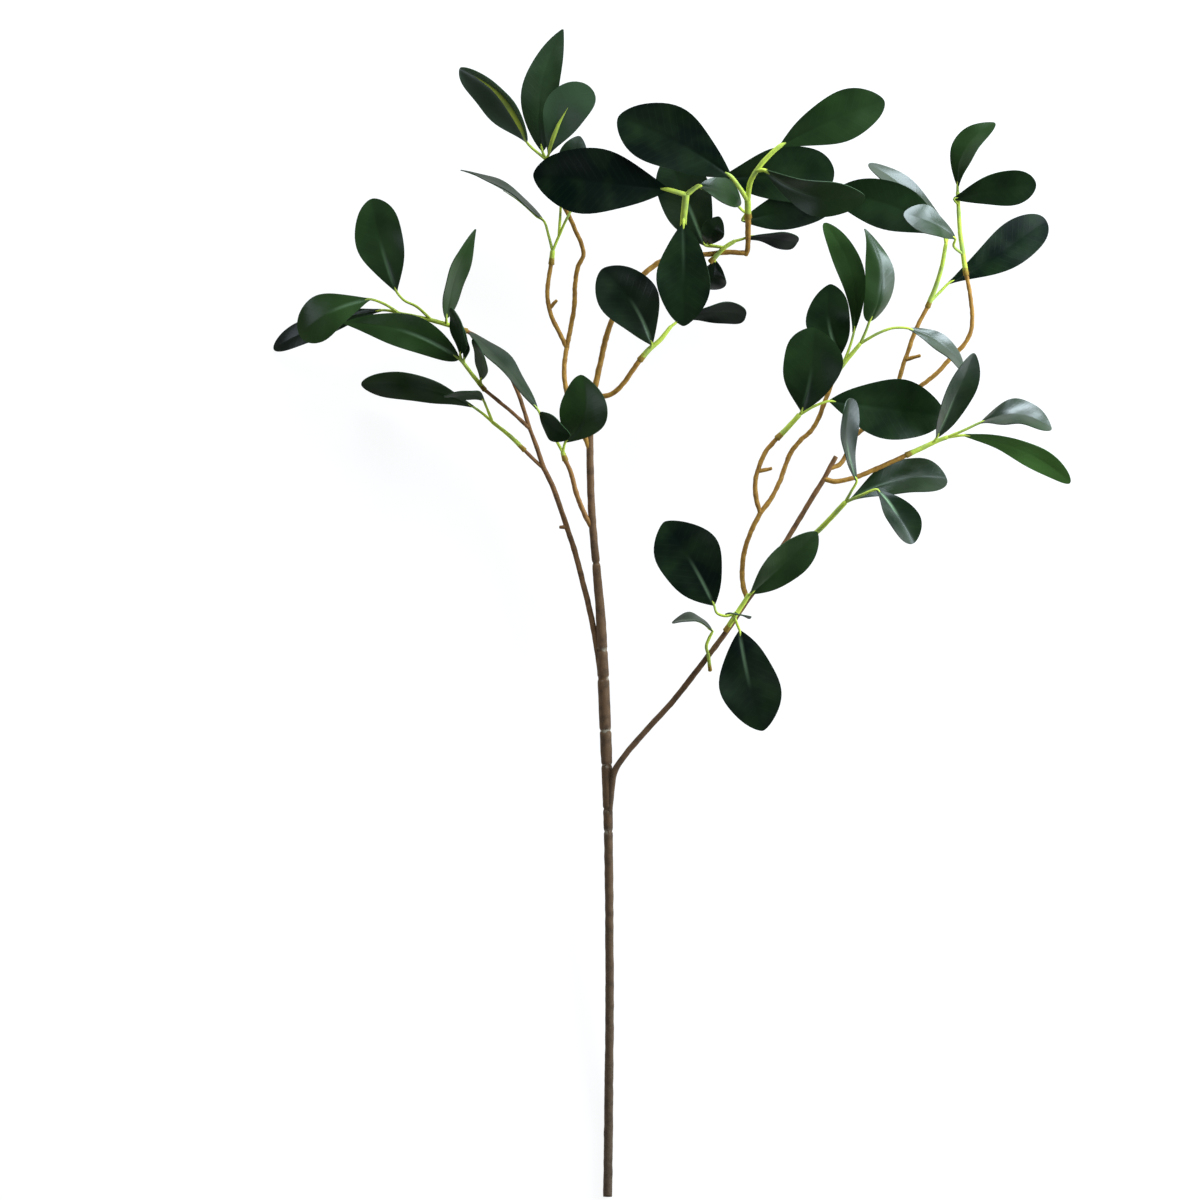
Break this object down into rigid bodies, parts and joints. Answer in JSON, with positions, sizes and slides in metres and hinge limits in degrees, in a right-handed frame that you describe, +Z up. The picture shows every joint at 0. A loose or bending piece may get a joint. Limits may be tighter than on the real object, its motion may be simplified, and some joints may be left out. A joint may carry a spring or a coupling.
{
  "type": "ficus branch",
  "caption": "Cut ficus branch lying flat: a wrapped stem, bound side branches, moulded twigs and leafy sprays of satin green leaves, used as a loose decoration.",
  "frame": {"origin": "on the surface the branch lies on, under the middle of its box", "axes": "+Y along the stem from its cut end towards the leaves, +X to the right of the branch seen from above, +Z up from the surface"},
  "size_m": [0.6246, 0.9132, 0.1041],
  "materials": {
    "stem": "matt taupe wrap",
    "twig": "matt caramel moulded plastic",
    "leaf": "satin dark green leaves on yellow-green shoots"
  },
  "bodies": {
    "root": {"main_stem": "stem", "left_branch": "stem", "right_branch": "stem", "middle_twig": "twig", "top_left_twig": "twig", "crown_twig": "twig", "right_lower_twig": "twig", "right_side_twig": "twig", "right_upper_twig": "twig", "left_tip_spray": "leaf", "left_inner_spray": "leaf", "left_low_spray": "leaf", "middle_spray": "leaf", "top_left_spray": "leaf", "top_left_side_spray": "leaf", "crown_left_spray": "leaf", "crown_tip_spray": "leaf", "crown_back_spray": "leaf", "crown_low_spray": "leaf", "right_base_spray": "leaf", "right_base_sprig": "leaf", "right_round_spray": "leaf", "right_tall_spray": "leaf", "right_far_spray": "leaf", "right_tip_spray": "leaf", "right_side_spray": "leaf", "right_mid_spray": "leaf"}
  },
  "joints": []
}
